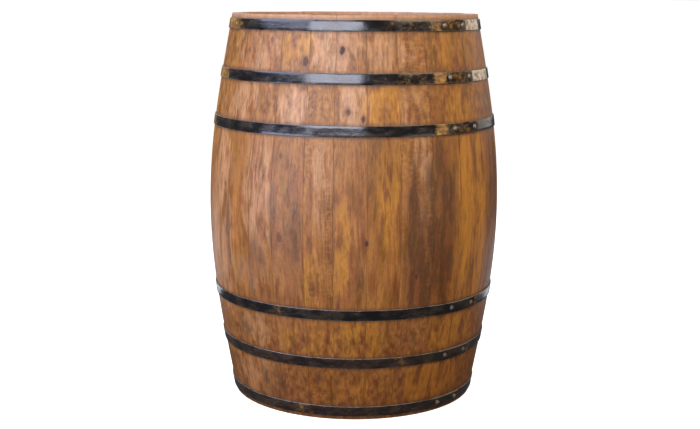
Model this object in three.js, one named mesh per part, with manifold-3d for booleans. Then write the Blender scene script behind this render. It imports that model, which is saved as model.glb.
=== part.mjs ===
// Oak wine barrel of about 228 litres, standing on its lower end.
// Millimetres, +Z up, origin on the floor under the middle. The front is -Y and the bung faces +Y.
import * as THREE from 'three';
import { mergeVertices } from 'three/addons/utils/BufferGeometryUtils.js';
import Module from 'manifold-3d';

const wasm = await Module();
wasm.setup();

// The barrel's outer shape
const barrelHeight = 900;
const bilgeDiameter = 690; // widest, half way up
const endDiameter = 576; // at both ends of the staves
const bowFullness = 1.8; // radians of a cosine from the middle to an end: a smaller value is nearer an arc

// Clearances between pieces
const seatGap = 0.3; // pieces that touch
const boreGap = 0.3; // a peg, rivet or bung in its hole

// Staves
const staveThickness = 27;
const staveWidths = [11, 11, 13, 11, 12.5, 12.5, 13, 13, 10, 13]; // parts of a round, the bung stave last
const staveRounds = 3; // the widths come round three times
const staveFacets = 2; // flats across one stave
const bellyStations = 3; // extra heights between the two bilge hoops
const insideStations = 5; // heights along the inner face, between the crozes

// Stave ends: a bevel inside, then the croze, the groove that holds the head
const endFaceWidth = 14;
const chimeDepth = 26;
const crozeDistance = 38; // end of the stave to the middle of the groove
const crozeWidth = 5;
const crozeDepth = 5;

// Heads: boards along Y, pegged to each other
const headThickness = 22;
const headBoards = [1, 0.94, 1.08, 0.96, 1.02]; // relative widths, from -X to +X
const headBevelOutside = 6; // height of the bevel on the face seen from outside
const headBevelReach = 18; // how far the bevels reach in from the tongue
const tonguePlay = 0.3; // between the tongue and each side of the croze
const tongueShoulder = 1; // length of the tongue that shows out of the croze
const headFacets = 60;
const pegDiameter = 8;
const pegLength = 20; // out of the board's edge
const pegSpacing = 240; // two pegs in each joint
const pegFacets = 8;

// Hoops: flat strip, lapped and riveted at the front right
const hoopWidth = 24;
const hoopThickness = 2;
const hoopPlaces = [
  { name: 'top_chime_hoop', height: barrelHeight - 23 },
  { name: 'top_quarter_hoop', height: barrelHeight - 135 },
  { name: 'top_bilge_hoop', height: barrelHeight - 245 },
  { name: 'bottom_bilge_hoop', height: 253 },
  { name: 'bottom_quarter_hoop', height: 139 },
  { name: 'bottom_chime_hoop', height: 21 },
];
const hoopFacets = 60;
const lapStart = -52; // degrees from +X: 38 degrees right of the front
const lapFacets = 3; // length of the lap, in flats of the hoop

// Rivets: domed head outside, countersunk tail inside
const rivetHeadDiameter = 12;
const rivetHeadHeight = 3;
const rivetShankDiameter = 5;
const rivetTailDiameter = 8;
const rivetTailDepth = 1.4;
const rivetDome = [0, 0.35, 0.7]; // rings of the dome, as shares of a quarter turn
const rivetFacets = 8;

// Bung: a tapered plug in the widest stave, half way up
const bungDiameter = 50; // where it leaves the stave
const bungTaper = 0.045; // loss of radius for each millimetre inwards
const bungProud = 6;
const bungBeyond = 3; // past the inner face of the stave
const bungChamfer = 1.5;
const bungFacets = 24;

const oak = { color: 0xa66e3e, roughness: 0.78, metalness: 0 };
const headOak = { color: 0xb5824f, roughness: 0.8, metalness: 0 };
const hoopSteel = { color: 0x1d1e22, roughness: 0.42, metalness: 0.6 };
const rivetSteel = { color: 0x2a2b30, roughness: 0.38, metalness: 0.7 };
const bungOak = { color: 0xc09468, roughness: 0.75, metalness: 0 };

// ---- shared shapes ----

// Leaves position only, joins equal points and drops the triangles that this flattens.
function weld(geometry) {
  geometry.deleteAttribute('normal');
  geometry.deleteAttribute('uv');
  const merged = mergeVertices(geometry);
  const index = merged.index.array;
  const corners = [];
  for (let i = 0; i < index.length; i += 3) {
    const [a, b, c] = [index[i], index[i + 1], index[i + 2]];
    if (a !== b && b !== c && c !== a) corners.push(a, b, c);
  }
  merged.setIndex(corners);
  return merged;
}

function toSolid(geometry) {
  const welded = weld(geometry);
  return new wasm.Manifold(new wasm.Mesh({
    numProp: 3,
    vertProperties: welded.attributes.position.array,
    triVerts: Uint32Array.from(welded.index.array),
  }));
}

function toGeometry(solid) {
  const { vertProperties, triVerts } = solid.getMesh();
  const geometry = new THREE.BufferGeometry();
  geometry.setAttribute('position', new THREE.BufferAttribute(vertProperties, 3));
  geometry.setIndex(new THREE.BufferAttribute(triVerts, 1));
  return geometry;
}

// Sweeps a closed outline of [radius, height] points round Z, in flats. Lift moves flat edge k outwards.
function sweepRound(outline, startAngle, flatAngle, flats, lift = () => 0) {
  const shape = new THREE.Shape(outline.map(([radius, height]) => new THREE.Vector2(radius, height)));
  const geometry = new THREE.ExtrudeGeometry(shape, { depth: flats, steps: flats, bevelEnabled: false });
  const position = geometry.attributes.position;
  for (let i = 0; i < position.count; i += 1) {
    const edge = flats - Math.round(position.getZ(i));
    const radius = position.getX(i) + lift(edge);
    const angle = startAngle + edge * flatAngle;
    position.setXYZ(i, radius * Math.cos(angle), radius * Math.sin(angle), position.getY(i));
  }
  return weld(geometry);
}

// Turns a [radius, height] profile, which starts and ends on the axis, into a body along +Z.
function turn(profile, facets) {
  const points = profile.map(([radius, height]) => new THREE.Vector2(radius, height));
  return new THREE.LatheGeometry(points, facets).rotateX(Math.PI / 2);
}

function addPiece(group, name, geometry, finish) {
  const mesh = new THREE.Mesh(geometry, new THREE.MeshStandardMaterial(finish));
  mesh.name = name;
  group.add(mesh);
  return mesh;
}

// ---- the barrel's profile ----

function outerRadius(height) {
  const fromMiddle = (2 * height) / barrelHeight - 1;
  const rise = Math.cos(bowFullness * fromMiddle) - Math.cos(bowFullness);
  const fullRise = 1 - Math.cos(bowFullness);
  return (endDiameter + (bilgeDiameter - endDiameter) * (rise / fullRise)) / 2;
}

function innerRadius(height) {
  return outerRadius(height) - staveThickness;
}

// Evenly spaced values between two heights, without the two themselves.
function between(low, high, count) {
  return Array.from({ length: count }, (_, i) => low + ((high - low) * (i + 1)) / (count + 1));
}

// The staves are straight under each hoop, so the hoop lies flat on them.
function outerStations() {
  const edges = hoopPlaces.flatMap(({ height }) => [height - hoopWidth / 2, height + hoopWidth / 2]);
  edges.sort((a, b) => a - b);
  const middle = edges.length / 2;
  const belly = between(edges[middle - 1], edges[middle], bellyStations);
  return [0, ...edges.slice(0, middle), ...belly, ...edges.slice(middle), barrelHeight];
}

// ---- staves ----

// Inner outline of one stave end, from the end face to past the croze; depth is from that end.
function staveEnd(heightAt) {
  const inside = (depth, cut = 0) => [innerRadius(heightAt(depth)) + cut, heightAt(depth)];
  const nearSide = crozeDistance - crozeWidth / 2;
  const farSide = crozeDistance + crozeWidth / 2;
  return [
    [endDiameter / 2 - endFaceWidth, heightAt(0)],
    inside(chimeDepth),
    inside(nearSide),
    inside(nearSide, crozeDepth),
    inside(farSide, crozeDepth),
    inside(farSide),
  ];
}

function staveOutline() {
  const outside = outerStations().map((height) => [outerRadius(height), height]);
  const clear = crozeDistance + crozeWidth / 2;
  const along = between(clear, barrelHeight - clear, insideStations).reverse();
  return [
    ...outside,
    ...staveEnd((depth) => barrelHeight - depth),
    ...along.map((height) => [innerRadius(height), height]),
    ...staveEnd((depth) => depth).reverse(),
  ];
}

const roundWidth = staveWidths.reduce((sum, width) => sum + width, 0) * staveRounds;
const staveAngle = (width) => (2 * Math.PI * width) / roundWidth;
const jointAngle = seatGap / (endDiameter / 2);

// A stave about +X, to be turned to its place
function staveGeometry(width) {
  const span = staveAngle(width) - jointAngle;
  return sweepRound(staveOutline(), -span / 2, span / staveFacets, staveFacets);
}

// Radius of the bung at a depth below the outside of its stave
function bungRadius(depth) {
  return bungDiameter / 2 - bungTaper * depth;
}

function bungGeometry() {
  const inner = staveThickness + bungBeyond;
  return weld(turn([
    [0, -inner],
    [bungRadius(inner) - bungChamfer, -inner],
    [bungRadius(inner - bungChamfer), bungChamfer - inner],
    [bungRadius(bungChamfer - bungProud), bungProud - bungChamfer],
    [bungRadius(-bungProud) - bungChamfer, bungProud],
    [0, bungProud],
  ], bungFacets));
}

// The bung stave lies about +X here, as every stave does, so its hole does too.
function bungStaveGeometry(width) {
  const reach = 2 * staveThickness;
  const hole = turn([
    [0, -reach],
    [bungRadius(reach) + boreGap, -reach],
    [bungRadius(-reach) + boreGap, reach],
    [0, reach],
  ], bungFacets);
  hole.rotateY(Math.PI / 2);
  hole.translate(bilgeDiameter / 2, 0, barrelHeight / 2);
  return toGeometry(toSolid(staveGeometry(width)).subtract(toSolid(hole)));
}

function addStaves(group) {
  const bungWidth = staveWidths.at(-1);
  let edge = Math.PI / 2 + staveAngle(bungWidth) / 2;
  let number = 1;
  for (let round = 1; round <= staveRounds; round += 1) {
    for (const [place, width] of staveWidths.entries()) {
      const last = round === staveRounds && place === staveWidths.length - 1;
      const name = last ? 'bung_stave' : `stave_${String(number).padStart(2, '0')}`;
      const geometry = last ? bungStaveGeometry(width) : staveGeometry(width);
      const stave = addPiece(group, name, geometry, oak);
      stave.rotation.z = edge + staveAngle(width) / 2;
      edge += staveAngle(width);
      number += 1;
    }
  }
}

// ---- heads ----

const widestFlat = staveAngle(Math.max(...staveWidths)) / staveFacets;
const grooveRadius = innerRadius(crozeDistance - crozeWidth / 2) + crozeDepth;
const headRadius = grooveRadius * Math.cos(widestFlat / 2) - seatGap;
const tongueThickness = crozeWidth - 2 * tonguePlay;
const headOutside = tongueThickness / 2 + headBevelOutside; // above the middle of the tongue
const headInside = headOutside - headThickness;

// The middle of the tongue is at height 0, and the outside of the barrel is up.
function headDisc() {
  const root = headRadius - crozeDepth - tongueShoulder;
  const face = root - headBevelReach;
  return toSolid(turn([
    [0, headInside],
    [face, headInside],
    [root, -tongueThickness / 2],
    [headRadius, -tongueThickness / 2],
    [headRadius, tongueThickness / 2],
    [root, tongueThickness / 2],
    [face, headOutside],
    [0, headOutside],
  ], headFacets));
}

// Where the joints between the boards lie, and a place past the rim at each end.
function headJoints() {
  const total = headBoards.reduce((sum, share) => sum + share, 0);
  const joints = [];
  let along = -headRadius;
  for (const share of headBoards.slice(0, -1)) {
    along += (2 * headRadius * share) / total;
    joints.push(along);
  }
  return [-2 * headRadius, ...joints, 2 * headRadius];
}

// Two round bars along X through a joint, as pegs or as the holes for them
function pegPair(joint, radius, back, reach) {
  const height = (headOutside + headInside) / 2;
  return [-pegSpacing / 2, pegSpacing / 2].map((side) => {
    const bar = new THREE.CylinderGeometry(radius, radius, back + reach, pegFacets);
    bar.rotateZ(Math.PI / 2);
    bar.translate(joint + (reach - back) / 2, side, height);
    return toSolid(bar);
  });
}

// Each board carries the pegs of the joint on its +X side and has the holes of the other one.
function headBoardGeometries() {
  const disc = headDisc();
  const joints = headJoints();
  return headBoards.map((_, i) => {
    const [left, right] = [joints[i] + seatGap / 2, joints[i + 1] - seatGap / 2];
    const strip = new THREE.BoxGeometry(right - left, 3 * headRadius, 3 * headThickness);
    strip.translate((left + right) / 2, 0, 0);
    let board = disc.intersect(toSolid(strip));
    if (i > 0) {
      for (const hole of pegPair(joints[i], pegDiameter / 2 + boreGap, seatGap, pegLength + boreGap)) {
        board = board.subtract(hole);
      }
    }
    if (i < headBoards.length - 1) {
      for (const peg of pegPair(joints[i + 1], pegDiameter / 2, pegLength, pegLength)) {
        board = board.add(peg);
      }
    }
    return toGeometry(board);
  });
}

function addHead(group, name, height, turnOver) {
  const head = new THREE.Group();
  head.position.z = height;
  head.rotation.x = turnOver;
  for (const [i, geometry] of headBoardGeometries().entries()) {
    addPiece(head, `${name}_board_${i + 1}`, geometry, headOak);
  }
  group.add(head);
}

// ---- hoops and rivets ----

const hoopFlat = (2 * Math.PI) / hoopFacets;
const flatRatio = Math.cos(hoopFlat / 2); // middle of a flat to its edge

// The strip's radii at its lower and upper edges, and how it leans; the heights are from its middle.
function hoopShape(height) {
  const inside = (side) => (outerRadius(height + side * hoopWidth / 2) + seatGap) / flatRatio;
  const [low, high] = [inside(-1), inside(1)];
  const lean = Math.atan2((high - low) * flatRatio, hoopWidth);
  const wall = hoopThickness / Math.cos(lean);
  return { low, high, lean, wall, lapLift: wall + seatGap };
}

function hoopStrip({ low, high, wall, lapLift }) {
  const outline = [
    [low, -hoopWidth / 2],
    [low + wall, -hoopWidth / 2],
    [high + wall, hoopWidth / 2],
    [high, hoopWidth / 2],
  ];
  const lift = (edge) => (edge < hoopFacets ? 0 : lapLift);
  return sweepRound(outline, 0, hoopFlat, hoopFacets + lapFacets, lift);
}

// Places a body that stands on +Z so that it stands on the lapped strip, in the middle of flat k.
function ontoLap(geometry, { low, high, lean, wall, lapLift }, flat) {
  geometry.rotateY(Math.PI / 2 + lean);
  geometry.translate(((low + high) / 2 + wall + lapLift) * flatRatio, 0, 0);
  return geometry.rotateZ((flat + 0.5) * hoopFlat);
}

function gripThickness({ wall, lapLift, lean }) {
  return (wall + lapLift) * flatRatio * Math.cos(lean);
}

function rivetGeometry(shape) {
  const grip = gripThickness(shape);
  const dome = rivetDome.map((share) => [
    (rivetHeadDiameter / 2) * Math.cos((share * Math.PI) / 2),
    seatGap + rivetHeadHeight * Math.sin((share * Math.PI) / 2),
  ]);
  return turn([
    [0, -grip],
    [rivetTailDiameter / 2, -grip],
    [rivetShankDiameter / 2, rivetTailDepth - grip],
    [rivetShankDiameter / 2, seatGap],
    ...dome,
    [0, seatGap + rivetHeadHeight],
  ], rivetFacets);
}

function rivetHole(shape) {
  const grip = gripThickness(shape);
  const shank = rivetShankDiameter / 2 + boreGap;
  const tail = rivetTailDiameter / 2 + boreGap;
  return turn([
    [0, -2 * grip],
    [tail, -2 * grip],
    [tail, -grip],
    [shank, rivetTailDepth - grip],
    [shank, grip],
    [0, grip],
  ], rivetFacets);
}

function addHoop(group, { name, height }) {
  const shape = hoopShape(height);
  const rivetFlats = [0, lapFacets - 1];
  const hoop = new THREE.Group();
  hoop.position.z = height;
  hoop.rotation.z = THREE.MathUtils.degToRad(lapStart);
  let strip = toSolid(hoopStrip(shape));
  for (const flat of rivetFlats) {
    strip = strip.subtract(toSolid(ontoLap(rivetHole(shape), shape, flat)));
  }
  addPiece(hoop, name, toGeometry(strip), hoopSteel);
  for (const [i, flat] of rivetFlats.entries()) {
    const rivet = weld(ontoLap(rivetGeometry(shape), shape, flat));
    addPiece(hoop, `${name}_rivet_${i + 1}`, rivet, rivetSteel);
  }
  group.add(hoop);
}

// ---- the whole barrel ----

function addBung(group) {
  const bung = addPiece(group, 'bung', bungGeometry(), bungOak);
  bung.rotation.x = -Math.PI / 2;
  bung.position.set(0, bilgeDiameter / 2, barrelHeight / 2);
}

const barrel = new THREE.Group();
addStaves(barrel);
addHead(barrel, 'top_head', barrelHeight - crozeDistance, 0);
addHead(barrel, 'bottom_head', crozeDistance, Math.PI);
for (const place of hoopPlaces) addHoop(barrel, place);
addBung(barrel);

export default barrel;
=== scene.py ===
import math
import random
from contextlib import contextmanager
from types import SimpleNamespace

import bmesh
import bpy
import numpy as np
from mathutils import Matrix, Vector


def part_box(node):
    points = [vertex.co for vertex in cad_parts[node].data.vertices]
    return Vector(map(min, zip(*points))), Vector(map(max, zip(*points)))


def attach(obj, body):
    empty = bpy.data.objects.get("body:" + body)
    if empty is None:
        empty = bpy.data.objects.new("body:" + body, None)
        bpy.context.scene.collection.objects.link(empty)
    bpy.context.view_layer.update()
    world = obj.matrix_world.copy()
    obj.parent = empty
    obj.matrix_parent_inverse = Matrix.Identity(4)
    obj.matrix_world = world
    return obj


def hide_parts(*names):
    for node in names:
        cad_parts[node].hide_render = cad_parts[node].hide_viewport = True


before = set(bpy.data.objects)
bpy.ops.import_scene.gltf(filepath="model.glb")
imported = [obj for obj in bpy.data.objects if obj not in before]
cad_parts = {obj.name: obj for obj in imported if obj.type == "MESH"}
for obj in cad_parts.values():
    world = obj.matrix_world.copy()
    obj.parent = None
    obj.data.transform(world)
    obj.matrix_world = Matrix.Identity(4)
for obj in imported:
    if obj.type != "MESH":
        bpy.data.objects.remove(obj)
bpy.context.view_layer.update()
scene = bpy.context.scene

# Metres. Angles are in degrees from the front, -Y, and grow to the right, towards +X.
staveNames = [f"stave_{number:02d}" for number in range(1, 30)] + ["bung_stave"]
hoopNames = ["top_chime", "top_quarter", "top_bilge", "bottom_bilge", "bottom_quarter", "bottom_chime"]


def paint(red, green, blue):
    # a colour as a screen shows it, 0 to 255, turned into light values
    shares = [channel / 255 for channel in (red, green, blue)]
    linear = [s / 12.92 if s <= 0.04045 else ((s + 0.055) / 1.055) ** 2.4 for s in shares]
    return (*linear, 1.0)


def meshPlaces(mesh):
    flat = np.empty(len(mesh.vertices) * 3)
    mesh.vertices.foreach_get("co", flat)
    return flat.reshape(-1, 3)


def nodePlaces(node):
    return meshPlaces(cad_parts[node].data)


def angleOf(places):
    return np.degrees(np.arctan2(places[..., 0], -places[..., 1]))


def turnBetween(angle, start):
    # from start to angle the short way round
    return (angle - start + 180) % 360 - 180


def spanOf(node):
    places = nodePlaces(node)
    middle = angleOf(places.mean(axis=0))
    around = turnBetween(angleOf(places), middle)
    return middle + around.min(), middle + around.max()


def roundOff(shares):
    shares = np.clip(shares, 0, 1)
    return shares * shares * (3 - 2 * shares)


def fadeOut(away, reach, softness):
    # 1 close by, and 0 from the reach on
    return roundOff((reach - away) / softness)


def bowedRadius(height, tall, bilge, end, bow):
    # the outside of the cask is a stretch of a cosine from the middle to each end
    along = 2 * height / tall - 1
    return end + (bilge - end) * (np.cos(bow * along) - math.cos(bow)) / (1 - math.cos(bow))


bowSearch = {
    "endBand": 0.0005,
    "wallBand": 0.01,
    "guesses": (0.5, 3.0, 501),
}


def measureCask():
    # the bow is the one that comes nearest to the outsides of the staves
    places = np.vstack([nodePlaces(name) for name in staveNames if name != "bung_stave"])
    radii, heights = np.hypot(places[:, 0], places[:, 1]), places[:, 2]
    tall = heights.max()
    bilge = radii.max()
    end = radii[heights > tall - bowSearch["endBand"]].max()
    outside = radii > bowedRadius(heights, tall, bilge, end, 1.0) - bowSearch["wallBand"]

    def worst(bow):
        return np.abs(bowedRadius(heights, tall, bilge, end, bow) - radii)[outside].max()

    bow = min(np.linspace(*bowSearch["guesses"]), key=worst)
    print(f"cask: {tall:.4f} tall, radii {bilge:.4f} and {end:.4f}, {worst(bow) * 1000:.2f} mm out")
    return {"tall": float(tall), "bilge": float(bilge), "end": float(end), "bow": float(bow)}


cask = measureCask()


def radiusAt(height):
    return bowedRadius(height, **cask)


def leanAt(height, step=0.001):
    # how far the side leans out from upright, in radians
    return math.atan2(radiusAt(height + step) - radiusAt(height - step), 2 * step)


# Nodes: a wire is one output, and sums on wires make Math nodes. New nodes go into the tree being built.
building = {"tree": None}


class Wire:
    def __init__(self, socket):
        self.socket = socket

    def other(self, name):
        return Wire(self.socket.node.outputs[name])

    def __add__(self, other):
        return maths("ADD", self, other)

    def __sub__(self, other):
        return maths("SUBTRACT", self, other)

    def __rsub__(self, other):
        return maths("SUBTRACT", other, self)

    def __mul__(self, other):
        return maths("MULTIPLY", self, other)

    def __truediv__(self, other):
        return maths("DIVIDE", self, other)

    def __rtruediv__(self, other):
        return maths("DIVIDE", other, self)

    def __abs__(self):
        return maths("ABSOLUTE", self)

    __radd__ = __add__
    __rmul__ = __mul__


def plug(value, socket):
    if isinstance(value, Wire):
        building["tree"].links.new(value.socket, socket)
    else:
        socket.default_value = value


def put(kind, inputs=None, result=0, **settings):
    node = building["tree"].nodes.new(kind)
    for name, value in settings.items():
        setattr(node, name, value)
    for name, value in (inputs or {}).items():
        plug(value, node.inputs[name])
    return Wire(node.outputs[result])


def maths(operation, *values):
    return put("ShaderNodeMath", dict(enumerate(values)), operation=operation)


def sine(value):
    return maths("SINE", value)


def cosine(value):
    return maths("COSINE", value)


def longSide(x, y):
    return maths("SQRT", x * x + y * y)


def chance(seed, first, second):
    # a number from 0 to 1 that belongs to the seed
    return maths("FRACT", sine(seed * first) * second)


def joinUp(x, y, z):
    return put("ShaderNodeCombineXYZ", {0: x, 1: y, 2: z})


def splitUp(vector):
    x = put("ShaderNodeSeparateXYZ", {0: vector})
    return x, x.other("Y"), x.other("Z")


def stretch(vector, by):
    return put("ShaderNodeVectorMath", {0: vector, 1: by}, operation="MULTIPLY")


def shift(vector, by):
    return put("ShaderNodeVectorMath", {0: vector, 1: by}, operation="ADD")


def noise(vector, fineness=None, detail=2, roughness=0.6, away=None):
    vector = stretch(vector, fineness) if fineness else vector
    vector = shift(vector, away) if away else vector
    values = {"Vector": vector, "Scale": 1.0, "Detail": detail, "Roughness": roughness}
    return put("ShaderNodeTexNoise", values)


def fade(value, low, high, toLow=0.0, toHigh=1.0):
    values = {"Value": value, "From Min": low, "From Max": high, "To Min": toLow, "To Max": toHigh}
    return put("ShaderNodeMapRange", values, interpolation_type="SMOOTHSTEP")


def blendColour(amount, first, second, blend="MIX"):
    values = {0: amount, 6: first, 7: second}
    return put("ShaderNodeMix", values, result=2, data_type="RGBA", blend_type=blend)


def wash(colour, amount, tint, blend="MIX"):
    # a coat of one plain tint over the colour
    return blendColour(amount, colour, paint(*tint), blend)


def ramp(value, *stops):
    # a stop is its place and a colour from 0 to 255, or its place and a level of light
    wire = put("ShaderNodeValToRGB", {0: value})
    elements = wire.socket.node.color_ramp.elements
    while len(elements) < len(stops):
        elements.new(1.0)
    for element, (place, *colour) in zip(elements, stops):
        element.position = place
        element.color = paint(*colour) if len(colour) == 3 else (*colour * 3, 1.0)
    return wire


def attribute(name, result="Fac"):
    return put("ShaderNodeAttribute", result=result, attribute_name=name)


def objectPlace():
    return put("ShaderNodeTexCoord", result="Object")


def useGroup(group, **inputs):
    return put("ShaderNodeGroup", inputs, node_tree=group)


socketKinds = {
    "blank": "Geometry", "points": "Geometry", "shape": "Geometry",
    "rivet": "Object", "material": "Material", "space": "Vector", "colour": "Color",
}


def startTree(name, kind, inputs, outputs):
    # inputs and outputs are labels; a socket is a number unless its label is in the table above
    tree = bpy.data.node_groups.new(name, kind)
    for direction, labels in (("INPUT", inputs.split()), ("OUTPUT", outputs.split())):
        for label in labels:
            socketType = "NodeSocket" + socketKinds.get(label, "Float")
            tree.interface.new_socket(label, in_out=direction, socket_type=socketType)
    building["tree"] = tree
    start = tree.nodes.new("NodeGroupInput")
    return SimpleNamespace(**{label: Wire(start.outputs[label]) for label in inputs.split()})


def endTree(**results):
    tree = building["tree"]
    ending = tree.nodes.new("NodeGroupOutput")
    for label, value in results.items():
        plug(value, ending.inputs[label])
    return tree


def endShape(shape, material):
    shape = put("GeometryNodeRealizeInstances", {0: shape})
    return endTree(shape=put("GeometryNodeSetMaterial", {"Geometry": shape, "Material": material}))


def store(shape, name, value, kind="FLOAT"):
    values = {"Geometry": shape, "Name": name, "Value": value}
    return put("GeometryNodeStoreNamedAttribute", values, data_type=kind, domain="POINT")


def movedTo(shape, place):
    return put("GeometryNodeSetPosition", {"Geometry": shape, "Position": place})


def roundTheCask(radius, angle, height):
    # a place by its distance from the axis and its angle from the front
    return joinUp(radius * sine(angle), radius * cosine(angle) * -1.0, height)


def startMaterial(name, **constants):
    material = bpy.data.materials.new(name)
    material.use_nodes = True
    building["tree"] = material.node_tree
    endMaterial(material, constants)
    return material


def endMaterial(material, inputs):
    shader = material.node_tree.nodes["Principled BSDF"]
    for label, value in inputs.items():
        plug(value, shader.inputs[label])
    return material


def bump(height, distance, strength):
    return put("ShaderNodeBump", {"Height": height, "Distance": distance, "Strength": strength})


def newPiece(name, mesh):
    piece = bpy.data.objects.new(name, mesh)
    scene.collection.objects.link(piece)
    return piece


def bakeModifiers(piece):
    # the result as a plain mesh, with the modifiers gone
    graph = bpy.context.evaluated_depsgraph_get()
    evaluated = piece.evaluated_get(graph)
    shaped = bpy.data.meshes.new_from_object(evaluated, preserve_all_data_layers=True, depsgraph=graph)
    piece.modifiers.clear()
    piece.data = shaped


def runTree(name, blank, tree, values):
    # a new piece made from the blank; each socket takes the value that has its label
    piece = newPiece(name, blank)
    modifier = piece.modifiers.new("shape", "NODES")
    modifier.node_group = tree
    for item in tree.interface.items_tree:
        if item.in_out == "INPUT" and item.name in values:
            modifier[item.identifier] = values[item.name]
    bakeModifiers(piece)
    piece.data.name = name
    return piece


def carve(piece, tool, operation="DIFFERENCE"):
    cut = piece.modifiers.new("cut", "BOOLEAN")
    cut.operation = operation
    cut.solver = "EXACT"
    cut.object = tool
    bakeModifiers(piece)
    bpy.data.objects.remove(tool)


@contextmanager
def editing(mesh):
    work = bmesh.new()
    work.from_mesh(mesh)
    yield work
    work.to_mesh(mesh)
    work.free()


def cleanMesh(mesh, closest=0.00001, straight=179.5):
    # cuts leave slivers, which are closed up
    with editing(mesh) as work:
        bmesh.ops.remove_doubles(work, verts=work.verts, dist=closest)
        awkward = [face for face in work.faces if len(face.verts) > 4
                   or any(loop.calc_angle() > math.radians(straight) for loop in face.loops)]
        bmesh.ops.triangulate(work, faces=awkward)
        bmesh.ops.dissolve_degenerate(work, edges=work.edges, dist=closest)


def addValues(mesh, name, values):
    # one number or one vector for each point
    kind, key = ("FLOAT", "value") if values.ndim == 1 else ("FLOAT_VECTOR", "vector")
    layer = mesh.attributes.new(name, kind, "POINT")
    layer.data.foreach_set(key, values.astype(np.float32).ravel())


def meshFrom(name, corners, faces):
    # a closed mesh with its faces turned outwards
    mesh = bpy.data.meshes.new(name)
    mesh.from_pydata(corners, [], faces)
    with editing(mesh) as work:
        bmesh.ops.remove_doubles(work, verts=work.verts, dist=1e-7)
        bmesh.ops.recalc_face_normals(work, faces=work.faces)
    return mesh


def pulledOut(name, sections):
    # rings of points, one after another, closed round and capped at both ends
    size = len(sections[0])
    corners = [corner for section in sections for corner in section]
    faces = [tuple(range(size)), tuple(range(len(corners) - size, len(corners)))]
    for first in range(0, len(corners) - size, size):
        for i in range(size):
            j = (i + 1) % size
            faces.append((first + i, first + j, first + size + j, first + size + i))
    return meshFrom(name, corners, faces)


def turned(name, profile, sides):
    # a profile of (radius, height) turned round Z; it starts and ends on the axis
    corners = [(0, 0, profile[0][1]), (0, 0, profile[-1][1])]
    rings = profile[1:-1]
    for radius, height in rings:
        for side in range(sides):
            angle = 2 * math.pi * side / sides
            corners.append((radius * math.cos(angle), radius * math.sin(angle), height))
    faces = []
    last = 2 + (len(rings) - 1) * sides
    for side in range(sides):
        other = (side + 1) % sides
        faces.append((0, 2 + other, 2 + side))
        for low in range(2, last, sides):
            high = low + sides
            faces.append((low + side, low + other, high + other, high + side))
        faces.append((1, last + side, last + other))
    return meshFrom(name, corners, faces)


def arc(middle, radius, first, last, steps):
    # points of an arc in a plane, from one angle to another
    angles = np.radians(np.linspace(first, last, steps + 1))
    return [(middle[0] + radius * math.cos(a), middle[1] + radius * math.sin(a)) for a in angles]


def finishPiece(piece, body, replaced, sharpest=32):
    piece.data.shade_smooth()
    piece.data.set_sharp_from_angle(angle=math.radians(sharpest))
    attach(piece, body)
    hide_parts(*replaced)


# The camera and the studio. The lights are softboxes, given by how bright their faces are.
studio = {
    "lens": 62.23,
    "distance": 2.8884,
    "eyeHeight": 0.9385,
    "pitch": 10.22,
    "yaw": 0.174,
    "roll": 0.367,
    "ambient": 0.5,
    "seenInGloss": 0.10,
    "backdrop": 1.0,
    "floorColour": (210, 210, 209),
    "floorForOthers": (120, 116, 110),
    "floorGlow": 0.78,
    "floorSize": 1200,
    # name: angle round the cask, degrees above its middle, distance, width, height, brightness, colour
    "softboxes": {
        "keyLight": (-17, 22.2, 4.0, 3.2, 1.2, 9.6, (0.88, 0.94, 1.0)),
        "leftLight": (-68, 42, 2.8, 2.4, 2.0, 4.2, (0.84, 0.99, 1.30)),
        "rightLight": (62, 46, 2.8, 2.2, 1.8, 3.4, (1.1, 0.96, 0.66)),
        "lowLight": (-52, 0, 2.8, 2.2, 0.7, 5.5, (0.88, 0.99, 1.26)),
        "lowRightLight": (58, 0, 2.8, 1.8, 0.6, 1.6, (1.05, 0.98, 0.74)),
        "hoopLight": (-12, 5, 4.0, 2.6, 0.5, 1.9, (1.0, 0.76, 0.66)),
        "edgeLight": (127, 14, 2.6, 1.5, 1.1, 1.0, (1.0, 0.95, 0.88)),
        "leftEdgeLight": (-143, -15, 2.6, 1.0, 0.5, 1.8, (0.80, 0.88, 1.0)),
        "rightEdgeLight": (138, -17, 2.6, 1.4, 0.4, 1.1, (0.88, 0.92, 1.0)),
        "backLight": (184, 26, 3.6, 3.2, 1.6, 3.2, (0.97, 0.98, 1.0)),
    },
}


def addCamera():
    data = bpy.data.cameras.new("camera")
    data.sensor_width = 36
    data.lens = studio["lens"]
    camera = newPiece("camera", data)
    place = Matrix.Translation((0, -studio["distance"], studio["eyeHeight"]))
    for axis, degrees in (("Z", studio["yaw"]), ("X", 90 - studio["pitch"]), ("Z", studio["roll"])):
        place = place @ Matrix.Rotation(math.radians(degrees), 4, axis)
    camera.matrix_world = place
    scene.camera = camera


def addSoftbox(name, angle, rise, distance, width, height, brightness, colour):
    data = bpy.data.lights.new(name, "AREA")
    data.shape = "RECTANGLE"
    data.size = width
    data.size_y = height
    data.energy = brightness * math.pi * width * height
    data.color = colour
    light = newPiece(name, data)
    around, up = math.radians(angle), math.radians(rise)
    away = Vector((math.sin(around) * math.cos(up), -math.cos(around) * math.cos(up), math.sin(up)))
    light.location = away * distance + Vector((0, 0, cask["tall"] / 2))
    light.rotation_euler = away.to_track_quat("Z", "Y").to_euler()
    light.visible_camera = False


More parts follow.
